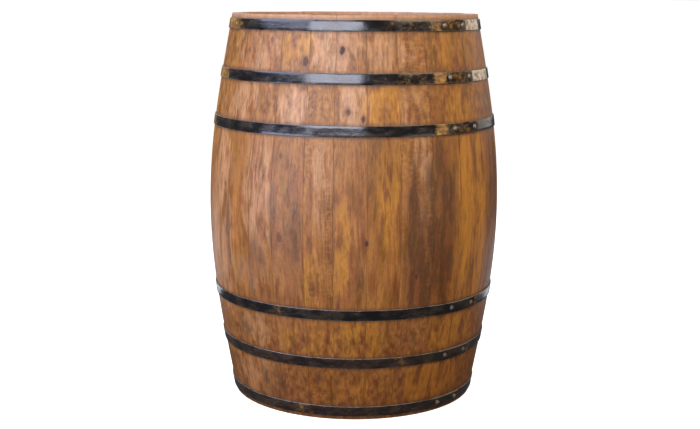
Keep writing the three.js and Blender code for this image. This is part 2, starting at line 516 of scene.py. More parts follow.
def addFloor():
    half = studio["floorSize"] / 2
    corners = [(-half, -half, 0), (half, -half, 0), (half, half, 0), (-half, half, 0)]
    floor = newPiece("floor", meshFrom("floor", corners, [(0, 1, 2, 3)]))
    material = startMaterial("paleFloor", **{
        "Roughness": 0.9, "Specular IOR Level": 0.1, "Emission Color": (1, 1, 1, 1)})
    # it glows for the camera alone, so it is pale to the horizon and doesn't light the cask from below
    direct = put("ShaderNodeLightPath", result="Is Camera Ray")
    colour = blendColour(direct, paint(*studio["floorForOthers"]), paint(*studio["floorColour"]))
    endMaterial(material, {"Base Color": colour, "Emission Strength": direct * studio["floorGlow"]})
    floor.data.materials.append(material)
    floor.visible_glossy = False


def addSurroundings():
    world = bpy.data.worlds.new("studio")
    world.use_nodes = True
    building["tree"] = world.node_tree
    world.node_tree.nodes.clear()
    direct = put("ShaderNodeLightPath", result="Is Camera Ray")
    ambient = studio["ambient"]
    level = ambient + direct.other("Is Glossy Ray") * (studio["seenInGloss"] - ambient)
    level = level + direct * (studio["backdrop"] - ambient)
    shader = put("ShaderNodeBackground", {"Strength": level})
    ending = world.node_tree.nodes.new("ShaderNodeOutputWorld")
    plug(shader, ending.inputs["Surface"])
    scene.world = world


addCamera()
addFloor()
addSurroundings()
for name, values in studio["softboxes"].items():
    addSoftbox(name, *values)
scene.view_settings.view_transform = "Standard"
print("studio: camera, floor and", len(studio["softboxes"]), "softboxes")


# Shared effects. Space is in metres: X across a board, Y into it and Z along it.
def oakGrainGroup():
    given = startTree("oakGrain", "ShaderNodeTree", "space seed figure", "tone pores relief")
    seed = given.seed
    moved = shift(given.space, joinUp(seed * 0.73, seed * 0.31, seed * 1.91))
    wander = noise(moved, (9, 9, 1.6), roughness=0.5) - 0.5
    curl = noise(moved, (42, 42, 16), roughness=0.5) - 0.5
    bent = shift(moved, joinUp(wander * 0.02 + curl * 0.012, 0, 0))
    bands = fade(noise(bent, (60, 60, 5.0), 3), 0.3, 0.7)
    streaks = fade(noise(bent, (170, 170, 13), 3), 0.3, 0.7)
    fibre = noise(bent, (950, 950, 18))
    # growth rings round a heart that lies behind the board, which makes arches along it
    x, y, z = splitUp(given.space)
    across = x - sine(seed * 5.3) * 0.018 + wander * 0.012
    heartDepth = 0.05 + sine(seed * 3.1) * 0.02 + z * 0.045 + wander * 0.02
    rings = sine(longSide(across, y + heartDepth) * 1900 + streaks * 2.2) * 0.5 + 0.5
    rings = rings * rings * given.figure
    cells = fade(noise(bent, (1300, 1300, 60), 1, 0.5), 0.56, 0.7)
    pores = cells * (0.35 + rings * 0.65)
    tone = bands * 0.34 + streaks * 0.24 + fibre * 0.24 + (0.5 - rings * 0.5) * 0.24 + 0.05
    relief = fibre * 0.5 + rings * 0.25 + streaks * 0.35 - pores * 0.7
    return endTree(tone=tone, pores=pores, relief=relief)


def mottleGroup():
    # soft cloudy patches, the same all round
    given = startTree("mottle", "ShaderNodeTree", "space seed size", "cloud specks")
    moved = shift(given.space, joinUp(given.seed * 1.3, given.seed * 2.1, given.seed * 0.7))
    sized = put("ShaderNodeVectorMath", {0: moved, "Scale": 1.0 / given.size}, operation="SCALE")
    cloud = fade(noise(sized, (1.0, 1.0, 0.45), 3), 0.3, 0.7)
    specks = fade(noise(sized, (4.5, 4.5, 3.0)), 0.36, 0.66)
    return endTree(cloud=cloud, specks=specks)


def rustGroup():
    # brown to ochre rust where the mask asks for it, broken up by a fine pattern
    given = startTree("rust", "ShaderNodeTree", "space mask", "colour amount")
    coarse = noise(given.space, (80, 80, 110), 3, 0.7)
    fine = noise(given.space, (700, 700, 700))
    colour = ramp(fade(coarse * 0.6 + fine * 0.4, 0.35, 0.65),
                  (0, 72, 46, 32), (0.45, 128, 84, 38), (1, 188, 138, 54))
    amount = fade(given.mask * 1.15 + (coarse - 0.5) * 1.0 + (fine - 0.5) * 0.5, 0.15, 1.0)
    return endTree(colour=colour, amount=amount)


grain = oakGrainGroup()
mottle = mottleGroup()
rust = rustGroup()
print("effects: oak grain, mottle and rust")


# Staves
stave = {
    "thickness": 0.027,
    "endFace": 0.014,
    "chime": 0.026,
    "crozeNear": 0.0355,
    "crozeFar": 0.0405,
    "crozeDepth": 0.005,
    "joint": 0.00012,
    "arris": 0.00045,
    "endArris": 0.0016,
    "endArrisSteps": 4,
    "chimeArris": 0.0006,
    "skin": 0.00008,
    "unevenness": 0.0005,
    "shortest": 0.0007,
    "rows": 150,
    "innerRows": 30,
    "edgeSteps": (0, 0.00006, 0.0002, 0.0004, 0.0007, 0.003, 0.009),
    "innerColumns": 9,
    # the tannin stain and painted shadow beside a hoop: its dark part and its whole reach
    "stainDark": 0.0012,
    "stainReach": 0.007,
    # the painted highlight along the top rim: how far below the top it starts, and where it is full
    "rim": (0.017, 0.009),
    # colours as a screen shows them; the oak's run from dark grain to light, with their places
    "oak": [(0, 98, 57, 27), (0.34, 137, 85, 40), (0.62, 162, 106, 50), (1, 190, 133, 68)],
    "goldenTint": (255, 244, 206),
    "rosyTint": (244, 226, 255),
    "oliveTint": (240, 252, 176),
    "purpleTint": (240, 222, 242),
    # painted shade towards the floor
    "lowTint": (210, 190, 146),
    # the painted highlight on the top rim
    "rimTint": (224, 178, 152),
    "paleTint": (206, 158, 126),
    "goldTint": (192, 124, 40),
    "smokeTint": (160, 150, 158),
    "knotRing": (112, 66, 44),
    "knotHeart": (54, 27, 24),
    # tannin stain and painted shadow beside the hoops
    "tannin": (72, 44, 28),
    "dirt": (64, 38, 24),
    "scorch": (34, 24, 20),
    # knots: angle, height, size, darkness
    "knots": [
        (-5, 0.825, 0.0065, 1.0), (-20, 0.801, 0.0075, 0.85), (-2.2, 0.696, 0.0055, 0.75),
        (3.4, 0.681, 0.0055, 0.9), (4.8, 0.415, 0.0045, 1.0), (-28, 0.42, 0.008, 0.6),
        (-28, 0.60, 0.005, 0.5), (-37, 0.845, 0.005, 0.5), (24, 0.335, 0.005, 0.7), (-58, 0.52, 0.005, 0.5),
        (49, 0.19, 0.006, 0.6), (-14, 0.10, 0.006, 0.5), (82, 0.72, 0.008, 0.8), (96, 0.33, 0.006, 0.9),
        (118, 0.58, 0.009, 0.8), (133, 0.83, 0.006, 0.7), (149, 0.21, 0.008, 0.9), (166, 0.62, 0.006, 0.7),
        (-171, 0.31, 0.007, 0.8), (-152, 0.70, 0.009, 0.9), (-139, 0.11, 0.006, 0.6),
        (-121, 0.46, 0.007, 0.8), (-104, 0.80, 0.006, 0.7), (-86, 0.36, 0.008, 0.8),
    ],
    # angles of the quarter-sawn staves, which show ray flecks
    "flecked": [-16, 26, 84, 131, 165, -152, -118, -84],
    "fleckedReach": 4,
    # how far knots and stains reach, in their own sizes, and how softly they end
    "knotLength": 1.7,
    "knotFade": (2.6, 0.5),
    "stainFade": (1.45, 0.9),
    # stains: angle, height, half width in degrees, half height, strength
    "smoke": [
        (28, 0.36, 8, 0.11, 0.95), (36.5, 0.42, 4, 0.20, 1.0), (22.5, 0.42, 2.6, 0.18, 0.95),
        (34, 0.57, 3.6, 0.08, 0.8), (30, 0.48, 5, 0.12, 0.65), (-21.5, 0.43, 2, 0.14, 0.55),
        (-56, 0.41, 1.8, 0.12, 0.6), (-39, 0.37, 5, 0.06, 0.5), (-31, 0.46, 2, 0.09, 0.5),
        (7, 0.50, 2.4, 0.06, 0.45), (1, 0.33, 2.4, 0.05, 0.45), (52, 0.82, 10, 0.05, 0.5),
        (-42, 0.33, 10, 0.09, 0.25), (-48, 0.82, 4, 0.05, 0.5), (-20, 0.81, 3, 0.04, 0.3),
        (10, 0.60, 5, 0.07, 0.35), (-25, 0.40, 4, 0.08, 0.35), (36, 0.70, 6, 0.05, 0.35),
        (34, 0.81, 5, 0.04, 0.4), (16, 0.20, 7, 0.04, 0.35), (-10, 0.08, 6, 0.04, 0.45),
        (-36, 0.07, 8, 0.04, 0.5), (-52, 0.18, 6, 0.05, 0.45), (70, 0.46, 7, 0.3, 0.6),
        (104, 0.40, 12, 0.15, 0.6), (146, 0.55, 10, 0.2, 0.55), (-160, 0.30, 11, 0.14, 0.6),
        (-128, 0.62, 9, 0.16, 0.55), (-95, 0.30, 10, 0.15, 0.6), (125, 0.15, 12, 0.07, 0.5),
        (-110, 0.12, 12, 0.06, 0.5), (172, 0.78, 8, 0.06, 0.5),
    ],
    "gold": [
        (47, 0.50, 4, 0.19, 0.95), (56, 0.44, 5, 0.22, 0.8), (52, 0.83, 14, 0.05, 0.7),
        (11, 0.705, 7, 0.05, 0.85), (12, 0.52, 5, 0.12, 0.55), (-4, 0.40, 4, 0.12, 0.45),
        (45, 0.69, 8, 0.05, 0.7), (40, 0.83, 8, 0.05, 0.6), (-25, 0.83, 6, 0.04, 0.5),
        (-19, 0.83, 2.4, 0.03, 0.9), (-16, 0.34, 4, 0.08, 0.5), (50, 0.2, 10, 0.04, 0.7),
        (-22, 0.19, 8, 0.04, 0.4), (8, 0.20, 6, 0.04, 0.5), (36, 0.08, 16, 0.05, 0.7),
        (44, 0.19, 12, 0.05, 0.6), (2, 0.19, 14, 0.05, 0.5), (-4, 0.08, 14, 0.04, 0.5),
        (92, 0.58, 9, 0.16, 0.7), (131, 0.36, 9, 0.14, 0.7), (162, 0.42, 7, 0.18, 0.6),
        (-175, 0.60, 7, 0.14, 0.6), (-145, 0.42, 8, 0.16, 0.6), (-112, 0.55, 9, 0.13, 0.6),
        (-80, 0.66, 8, 0.1, 0.5),
    ],
    "pale": [
        (26, 0.60, 4, 0.07, 0.6), (27, 0.50, 2.4, 0.08, 0.4), (-10, 0.83, 14, 0.06, 0.55),
        (14, 0.82, 12, 0.05, 0.5), (0, 0.71, 7, 0.05, 0.75), (-24, 0.70, 7, 0.05, 0.7),
        (-62, 0.44, 11, 0.24, 0.5), (-48, 0.71, 10, 0.06, 0.5), (22, 0.70, 6, 0.05, 0.4),
        (-12, 0.54, 5, 0.1, 0.4), (-38, 0.50, 9, 0.14, 0.5), (-46, 0.82, 15, 0.05, 0.45),
        (-44, 0.33, 12, 0.05, 0.35), (-48, 0.08, 16, 0.06, 0.55), (-44, 0.19, 14, 0.05, 0.4),
        (84, 0.50, 6, 0.14, 0.6), (155, 0.70, 8, 0.1, 0.5), (-118, 0.35, 7, 0.1, 0.5),
    ],
}


def staveOutline():
    # (depth below the outside, height), once round the side of a stave
    tall, corner, soft = cask["tall"], stave["endArris"], stave["chimeArris"]
    outside = [(0.0, height) for height in np.linspace(corner, tall - corner, stave["rows"])]
    topCorner = arc((corner, tall - corner), corner, 180, 90, stave["endArrisSteps"])[1:]
    inside, face, near, far = stave["thickness"], stave["endFace"], stave["crozeNear"], stave["crozeFar"]
    croze = inside - stave["crozeDepth"]
    # from the end face over the chime bevel to past the croze, by distance from the end
    ending = [
        (face - soft, 0.0), (face + soft / 2, soft), (inside - soft / 2, stave["chime"] - soft),
        (inside, stave["chime"] + soft), (inside, near), (croze, near), (croze, far), (inside, far)]
    top = topCorner + [(depth, tall - down) for depth, down in ending]
    bottom = [(depth, tall - height) for depth, height in reversed(top)]
    inner = [(inside, height) for height in np.linspace(tall - far, far, stave["innerRows"])[1:-1]]
    return outside + top + inner + bottom


def fineEnds(steps, length, count):
    # shares of a length that start and end with small steps
    near = [step / length for step in steps]
    middle = list(np.linspace(near[-1], 1 - near[-1], count)[1:-1])
    return near + middle + [1 - share for share in reversed(near)]


def staveBlank(widest):
    # a straight blank: X runs from 0 to 1 across the stave, Y is depth and Z is height
    outline = staveOutline()
    columns = fineEnds(stave["edgeSteps"], widest, stave["innerColumns"])
    sections = [[(share, depth, height) for depth, height in outline] for share in columns]
    return pulledOut("staveBlank", sections)


def staveTree():
    given = startTree("bend a stave", "GeometryNodeTree",
                      "blank tall bilge end bow first last joint arris thickness skin unevenness shortest "
                      "seed material", "shape")
    share, depth, height = splitUp(put("GeometryNodeInputPosition"))
    seed, arris = given.seed, given.arris
    # the bow
    along = height * 2 / given.tall - 1
    flat = cosine(given.bow)
    swell = (cosine(along * given.bow) - flat) / (1 - flat)
    radius = given.end + (given.bilge - given.end) * swell
    # across, less half a joint at each side
    turn = given.last - given.first
    width = radius * turn
    angle = given.first + share * turn + (0.5 - share) * given.joint / radius
    # rounded arrises, outside and inside
    side = maths("MINIMUM", share, 1 - share) * width
    near = maths("MAXIMUM", arris - side, 0.0)
    drop = arris - maths("SQRT", maths("MAXIMUM", arris * arris - near * near, 0.0))
    inward = 1 - depth * 2 / given.thickness
    # hand work: long waves, and each stave set in a little by itself
    across = (share - 0.5) * width
    waves = noise(joinUp(across * 22 + seed * 3.7, seed * 1.3, height * 4.5), roughness=0.5) * 0.7
    setIn = chance(seed, 12.9898, 43.7) * 0.5
    outerSkin = maths("MAXIMUM", inward, 0.0)
    lowered = depth + drop * inward + (given.skin + given.unevenness * (waves + setIn)) * outerSkin
    middle = given.tall / 2
    shorter = chance(seed, 78.233, 17.3) * given.shortest / middle
    newHeight = height + (middle - height) * shorter * maths("GREATER_THAN", height, middle)
    shape = store(given.blank, "boardSpace", joinUp(across, depth, height), "FLOAT_VECTOR")
    shape = store(store(shape, "boardEdge", side), "boardSeed", seed)
    return endShape(movedTo(shape, roundTheCask(radius - lowered, angle, newHeight)), given.material)


def patchStrength(angles, heights, patches):
    total = np.zeros(len(angles))
    for angle, height, halfWidth, halfHeight, strength in patches:
        away = np.hypot(turnBetween(angles, angle) / halfWidth, (heights - height) / halfHeight)
        total = np.maximum(total, strength * fadeOut(away, *stave["stainFade"]))
    return total


def knotSpace(angles, heights):
    # where the nearest knot lies, counted in its own size, and how dark it is
    offsets = np.full((len(angles), 3), 9.0)
    offsets[:, 1] = 0
    nearest = np.full(len(angles), 9.0)
    for angle, height, size, darkness in stave["knots"]:
        across = np.radians(turnBetween(angles, angle)) * radiusAt(heights) / size
        along = (heights - height) / (size * stave["knotLength"])
        away = np.hypot(across, along)
        closer = away < nearest
        nearest[closer] = away[closer]
        offsets[closer] = np.column_stack([across, np.full(len(away), darkness), along])[closer]
    offsets[:, 1] *= fadeOut(nearest, *stave["knotFade"])
    return offsets


def hoopShade(height):
    # 0.3 right beside a hoop and 1 away from it
    tall = cask["tall"]
    dark, reach = stave["stainDark"] / tall, stave["stainReach"] / tall
    stops = []
    for name in reversed(hoopNames):
        low, high = (corner.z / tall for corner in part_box(name + "_hoop"))
        stops += [(low - reach, 1.0), (low - dark, 0.3), (high + dark, 0.3), (high + reach, 1.0)]
    return ramp(height / tall, *[stop for stop in stops if 0 < stop[0] < 1])


def stainedOak():
    material = startMaterial("stainedOak", **{"Specular IOR Level": 0.5})
    space, seed = attribute("boardSpace", "Vector"), attribute("boardSeed")
    figure = useGroup(grain, space=space, seed=seed, figure=0.8)
    pores = figure.other("pores")
    clouds = useGroup(mottle, space=space, seed=seed, size=0.030)
    broad = useGroup(mottle, space=space, seed=seed + 40.0, size=0.12)
    specks = clouds.other("specks")
    height = splitUp(objectPlace())[2]
    ownPlace = joinUp(seed, 0, 0)
    # streaky over the belly, blotchy towards the ends
    blotches = fade(noise(space, (88, 88, 46), 4, 0.65, ownPlace), 0.3, 0.7)
    ends = fade(abs(height - cask["tall"] / 2), 0.17, 0.25)
    tone = figure + (blotches - figure) * ends * 0.62
    colour = ramp(tone, *stave["oak"])
    # some staves are redder, some more golden
    warmth = fade(chance(seed, 47.1, 91.7) * 0.6 + broad * 0.6, 0.2, 1.0)
    colour = wash(colour, warmth, stave["goldenTint"], "MULTIPLY")
    colour = wash(colour, fade(1 - warmth, 0.6, 1.0, 0.0, 0.35), stave["rosyTint"], "MULTIPLY")
    shade = ramp(clouds, (0, 196, 186, 178), (0.5, 236, 234, 232), (1, 255, 255, 255))
    colour = blendColour(0.85, colour, shade, "MULTIPLY")
    colour = wash(colour, specks * 0.2, (92, 54, 32))
    # ray flecks cross the grain of the quarter-sawn staves
    ripple = noise(space, (80, 80, 150), 3, away=ownPlace)
    flecked = attribute("flecked") * fade(broad, 0.2, 0.7)
    flecks = fade(ripple, 0.48, 0.64) * flecked
    colour = wash(colour, flecks * 0.18, (200, 150, 102))
    colour = wash(colour, fade(ripple, 0.5, 0.36) * flecked * 0.22, (100, 62, 38))
    # streaks of olive and of purple run through it
    hue = noise(space, (48, 48, 8), 3, 0.65, joinUp(seed * 2.3, 0, seed))
    colour = wash(colour, fade(hue, 0.5, 0.72) * 0.85, stave["oliveTint"], "MULTIPLY")
    colour = wash(colour, fade(hue, 0.5, 0.3) * 0.8, stave["purpleTint"], "MULTIPLY")
    # stains
    uneven = (clouds - 0.5) * 0.6 + (figure - 0.5) * 1.0 + (hue - 0.5) * 1.5
    pale = fade(attribute("pale") + uneven * 0.7, 0.2, 0.9)
    colour = wash(colour, pale * (0.2 + figure * 0.4), stave["paleTint"])
    gold = fade(attribute("gold") + uneven, 0.25, 0.9)
    colour = wash(colour, gold * 0.75, stave["goldTint"], "COLOR")
    colour = wash(colour, gold * 0.3, (212, 140, 48))
    smoke = fade(attribute("smoke") + uneven * 1.35, 0.25, 1.05)
    colour = wash(colour, smoke * 0.9, stave["smokeTint"], "MULTIPLY")
    colour = wash(colour, smoke * 0.15, (70, 40, 30))
    colour = wash(colour, pores * 0.42, (74, 42, 24))
    # painted shade, darker and deeper in colour towards the floor, and a painted highlight along the top rim
    colour = wash(colour, fade(height, 0.37, 0.02) * 0.75, stave["lowTint"], "MULTIPLY")
    # painted highlight: the top rim lighter and pinker
    rimHighlight = fade(height, *(cask["tall"] - down for down in stave["rim"]))
    colour = wash(colour, rimHighlight * 0.25, stave["rimTint"])
    # knots: a dark heart in a brown ring
    acrossKnot, darkness, alongKnot = splitUp(attribute("knotSpace", "Vector"))
    wobble = (noise(space, (160, 160, 120)) - 0.5) * 1.1
    away = longSide(acrossKnot, alongKnot) + wobble
    heart = fade(away, 1.05, 0.55) * darkness
    colour = wash(colour, fade(away, 2.2, 0.9) * darkness * 0.45, stave["knotRing"])
    colour = wash(colour, heart * 0.92, stave["knotHeart"])
    # tannin stain and painted shadow beside the hoops, and dirt in the joints
    colour = wash(colour, (1 - hoopShade(height)) * 0.7, stave["tannin"])
    edge = attribute("boardEdge")
    dirt = fade(edge, 0.0012, 0.0003) * (0.05 + fade(broad + clouds * 0.6, 0.4, 1.3) * 0.4)
    soft = fade(edge, 0.006, 0.0005) * fade(broad + clouds * 0.5, 0.6, 1.3) * 0.35
    colour = wash(colour, maths("MAXIMUM", dirt, soft), stave["dirt"])
    # the scorched hole, the toasted inside and the end grain
    colour = wash(colour, attribute("scorch"), stave["scorch"])
    inside = stave["thickness"]
    toast = fade(splitUp(space)[1], inside - 0.0008, inside - 0.0001)
    colour = blendColour(toast, colour, blendColour(clouds, paint(52, 33, 22), paint(92, 60, 38)))
    normal = put("ShaderNodeNewGeometry", result="Normal")
    endGrain = fade(abs(splitUp(normal)[2]), 0.75, 0.92)
    raw = blendColour(figure, paint(110, 72, 50), paint(180, 132, 98))
    raw = wash(raw, warmth * 0.8, (232, 214, 196), "MULTIPLY")
    colour = blendColour(endGrain * 0.8, colour, raw)
    colour = wash(colour, endGrain * fade(edge, 0.0016, 0.0005) * 0.65, (58, 36, 26))
    roughness = 0.40 + clouds * 0.10 + pores * 0.15 + endGrain * 0.25 + toast * 0.2
    roughness = roughness - smoke * 0.04 - flecks * 0.06 + heart * 0.2
    relief = figure.other("relief") + clouds * 0.5 - heart * 0.8 + specks * 0.25 + flecks * 0.3
    return endMaterial(material, {
        "Base Color": colour, "Roughness": roughness, "Normal": bump(relief, 0.0007, 0.85)})


bung = {
    "radius": 0.025,
    "taper": 0.045,
    "play": 0.0003,
    "clearance": 0.00005,
    "chamfer": 0.0013,
    "sides": 96,
    "ends": 0.004,
    "rows": 8,
    # a shallow turned dish with one ring in it: radius, depth below the face
    "dish": [(0.0165, 0.0001), (0.0160, 0.0006), (0.0152, 0.0006), (0.0147, 0.0001), (0.008, 0.0002),
             (0.0016, 0.0002), (0.0008, 0.0009), (0, 0.0012)],
    "scorched": 0.0085,
    "countersink": 0.0012,
    "drillOverrun": 0.02,
    "wood": [(0, 128, 88, 54), (0.5, 182, 136, 90), (1, 214, 172, 122)],
    "patina": (112, 74, 48),
    "wine": (84, 34, 40),
    "wineDepths": (0.026, 0.006),
    "handled": (84, 56, 38),
}


def bungPlace():
    low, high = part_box("bung")
    return (low.x + high.x) / 2, (low.z + high.z) / 2, low.y, high.y


def bungRadius(depth):
    # at a depth below the outside of the stave
    return bung["radius"] - bung["taper"] * depth


def drillBungHole(blank, first, last):
    # the blank is straight, so the hole is drilled in it before it is bent
    turn = math.radians(last - first)
    share, height = math.radians(turnBetween(180, first)) / turn, bungPlace()[1]
    play, sink, over = bung["play"], bung["countersink"], bung["drillOverrun"]
    through = stave["thickness"] + over
    sections = []
    for depth, radius in ((-over, bungRadius(0) + sink + over), (0.0, bungRadius(0) + sink),
                          (sink, bungRadius(sink) + play), (through, bungRadius(through) + play)):
        ring = arc((0, 0), radius, 0, 360, bung["sides"])[:-1]
        sections.append([(share + x / (cask["bilge"] * turn), depth, height + z) for x, z in ring])
    piece = newPiece("drilledBlank", blank.copy())
    carve(piece, newPiece("drill", pulledOut("drill", sections)))
    mesh = piece.data
    bpy.data.objects.remove(piece)
    return mesh


def makeStaves():
    tree, material = staveTree(), stainedOak()
    spans = [spanOf(name) for name in staveNames]
    gaps = [turnBetween(spans[(i + 1) % len(spans)][0], spans[i][1]) for i in range(len(spans))]
    blank = staveBlank(math.radians(max(last - first for first, last in spans)) * cask["bilge"])
    for number, name in enumerate(staveNames):
        first = spans[number][0] - gaps[number - 1] / 2
        last = spans[number][1] + gaps[number] / 2
        drilled = name == "bung_stave"
        piece = runTree("oak_" + name, drillBungHole(blank, first, last) if drilled else blank, tree, {
            **cask, **stave, "first": math.radians(first), "last": math.radians(last),
            "seed": float(number + 1), "material": material})
        mesh = piece.data
        places = meshPlaces(mesh)
        angles, heights = angleOf(places), places[:, 2]
        for stain in ("smoke", "gold", "pale"):
            addValues(mesh, stain, patchStrength(angles, heights, stave[stain]))
        addValues(mesh, "knotSpace", knotSpace(angles, heights))
        middle, reach = (first + last) / 2, stave["fleckedReach"]
        flecked = any(abs(turnBetween(middle, angle)) < reach for angle in stave["flecked"])
        addValues(mesh, "flecked", np.full(len(places), float(flecked)))
        fromHole = np.hypot(places[:, 0] - bungPlace()[0], heights - bungPlace()[1]) - bung["radius"]
        addValues(mesh, "scorch", roundOff(1 - fromHole / bung["scorched"]) * drilled)
        finishPiece(piece, "cask", [name])
    print("staves:", len(staveNames))


makeStaves()


# Heads: boards with a bevel round the outside that ends in the tongue, pegged to each other
head = {
    "boards": 5,
    "joint": 0.0003,
    "arris": 0.0012,
    "sharpEdge": 50,
    "bevelReach": 0.018,
    "bevelArris": 0.0005,
    "flatRing": 0.038,
    "tongueShoulder": 0.001,
    "tonguePlay": 0.0003,
    "sides": 240,
    "pegRadius": 0.004,
    "pegLength": 0.020,
    "pegSpacing": 0.240,
    "pegSides": 24,
    "pegPlay": 0.0003,
    "pegEndPlay": 0.0005,
    "holeStart": 0.001,
    "setDown": 0.0001,
    "endSpace": 0.00015,
    # seeds: of how far the boards are set down, and of the first board's grain
    "seeds": {"top": (5, 41), "bottom": (11, 50)},
    "oak": [(0, 104, 64, 36), (0.4, 156, 106, 64), (0.7, 184, 132, 84), (1, 208, 160, 108)],
    "dirt": (62, 38, 24),
    # darker towards the rim of the head
    "rimDarkening": (70, 44, 28),
    "rimDarkeningRadii": (0.225, 0.268),
}


def headProfile(radius, outside, inside, tongue):
    # (radius, height above the middle of the tongue), from inside round to outside
    root = radius - stave["crozeDepth"] - head["tongueShoulder"]
    flat = root - head["bevelReach"]
    ring = flat - head["flatRing"]
    half, soft = tongue / 2, head["bevelArris"]
    return [
        (0, inside), (ring, inside), (flat - 3 * soft, inside), (flat + 3 * soft, inside + soft),
        (root, -half), (radius - soft, -half), (radius, -half + soft),
        (radius, half - soft), (radius - soft, half), (root, half),
        (flat + 5 * soft, outside - soft), (flat - 4 * soft, outside), (ring, outside), (0, outside)]


def cutBoard(disc, cuts):
    # the part of the disc between upright planes, with its long edges rounded
    mesh = disc.copy()
    with editing(mesh) as work:
        for side, facing in cuts:
            parts = work.verts[:] + work.edges[:] + work.faces[:]
            cut = bmesh.ops.bisect_plane(work, geom=parts, dist=1e-7, plane_co=(side, 0, 0),
                                         plane_no=(facing, 0, 0), clear_outer=True)
            edges = [part for part in cut["geom_cut"] if isinstance(part, bmesh.types.BMEdge)]
            bmesh.ops.contextual_create(work, geom=edges)
        long = [edge for edge in work.edges
                if len(edge.link_faces) == 2 and edge.calc_face_angle(0) > math.radians(head["sharpEdge"])
                and any(all(abs(v.co.x - side) < 1e-6 for v in edge.verts) for side, facing in cuts)]
        bmesh.ops.bevel(work, geom=long, offset=head["arris"], segments=2, profile=0.5, affect="EDGES",
                        clamp_overlap=True)
        bmesh.ops.recalc_face_normals(work, faces=work.faces)
    return mesh


def pegTool(joint, side, height, radius, back, reach):
    ends = [(0, -back), (radius, -back), (radius, reach), (0, reach)]
    peg = newPiece("peg", turned("peg", ends, head["pegSides"]))
    peg.data.transform(Matrix.Translation((joint, side, height)) @ Matrix.Rotation(math.pi / 2, 4, "Y"))
    return peg


def headBoards(end):
    return [f"{end}_head_board_{number + 1}" for number in range(head["boards"])]


def headJoints(end):
    # a board's box takes in its pegs on the right, so the joints are where the boxes start
    return [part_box(name)[0].x - head["joint"] / 2 for name in headBoards(end)[1:]]


def makeHead(end, turnOver, material):
    names, joints = headBoards(end), headJoints(end)
    radius = max(np.hypot(*nodePlaces(name)[:, :2].T).max() for name in names) - head["endSpace"]
    low, high = (corner.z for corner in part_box(names[0]))
    tongueMiddle = (stave["crozeNear"] + stave["crozeFar"]) / 2
    outside, inside = tongueMiddle - low, tongueMiddle - high
    if not turnOver:
        tongueMiddle = cask["tall"] - tongueMiddle
        outside, inside = high - tongueMiddle, low - tongueMiddle
    tongue = stave["crozeFar"] - stave["crozeNear"] - 2 * head["tonguePlay"]
    disc = turned("disc", headProfile(radius, outside, inside, tongue), head["sides"])
    pegHeight = (outside + inside) / 2
    drawSeed, grainSeed = head["seeds"][end]
    draws = random.Random(drawSeed)
    turnedOver = Matrix.Rotation(math.pi if turnOver else 0, 4, "X")
    half, thick, deep, play = head["joint"] / 2, head["pegRadius"], head["pegLength"], head["pegPlay"]
    for i, name in enumerate(names):
        cuts = [(joints[i - 1] + half, -1)] if i > 0 else []
        cuts += [(joints[i] - half, 1)] if i < len(joints) else []
        piece = newPiece(name.replace("_board", "_oak_board"), cutBoard(disc, cuts))
        for side in (-head["pegSpacing"] / 2, head["pegSpacing"] / 2):
            if i > 0:
                tool = pegTool(joints[i - 1], side, pegHeight, thick + play, head["holeStart"], deep + play)
                carve(piece, tool)
            if i < len(joints):
                tool = pegTool(joints[i], side, pegHeight, thick, deep, deep - head["pegEndPlay"])
                carve(piece, tool, "UNION")
        mesh = piece.data
        cleanMesh(mesh)
        drop = Matrix.Translation((0, 0, -draws.random() * head["setDown"]))
        mesh.transform(Matrix.Translation((0, 0, tongueMiddle)) @ turnedOver @ drop)
        addValues(mesh, "boardSpace", meshPlaces(mesh)[:, [0, 2, 1]])
        addValues(mesh, "boardSeed", np.full(len(mesh.vertices), float(i + grainSeed)))
        mesh.materials.clear()
        mesh.materials.append(material)
        finishPiece(piece, "cask", [name])


def headOak():
    material = startMaterial("headOak", **{"Specular IOR Level": 0.4})
    space, seed = attribute("boardSpace", "Vector"), attribute("boardSeed")
    # sawn boards have a longer, straighter grain than split staves
    figure = useGroup(grain, space=stretch(space, (1.3, 1.3, 0.3)), seed=seed, figure=1.1)
    clouds = useGroup(mottle, space=stretch(space, (1, 1, 0.5)), seed=seed, size=0.05)
    colour = ramp(figure, *head["oak"])
    colour = wash(colour, chance(seed, 31.7, 57.3), (226, 206, 184), "MULTIPLY")
    shade = ramp(clouds, (0, 190, 178, 168), (0.6, 240, 238, 236), (1, 255, 255, 255))
    colour = blendColour(0.8, colour, shade, "MULTIPLY")
    colour = wash(colour, figure.other("pores") * 0.4, (80, 48, 28))
    # dirt gathers in the joints, and the head is darker towards its rim, where it meets the staves
    x, y = splitUp(objectPlace())[:2]
    nearest = 1.0
    for joint in headJoints("top"):
        nearest = maths("MINIMUM", abs(x - joint), nearest)
    seam = fade(nearest + (clouds - 0.5) * 0.001, 0.0022, 0.0007)
    colour = wash(colour, seam * 0.7, head["dirt"])
    rimDarkening = fade(longSide(x, y) + (clouds - 0.5) * 0.02, *head["rimDarkeningRadii"])
    colour = wash(colour, rimDarkening * 0.6, head["rimDarkening"])
    return endMaterial(material, {
        "Base Color": colour, "Roughness": 0.55 + clouds * 0.12 + rimDarkening * 0.1,
        "Normal": bump(figure.other("relief") + clouds * 0.4, 0.0006, 0.8)})


headMaterial = headOak()
makeHead("top", False, headMaterial)
makeHead("bottom", True, headMaterial)
print("heads: 2 of", head["boards"], "boards")


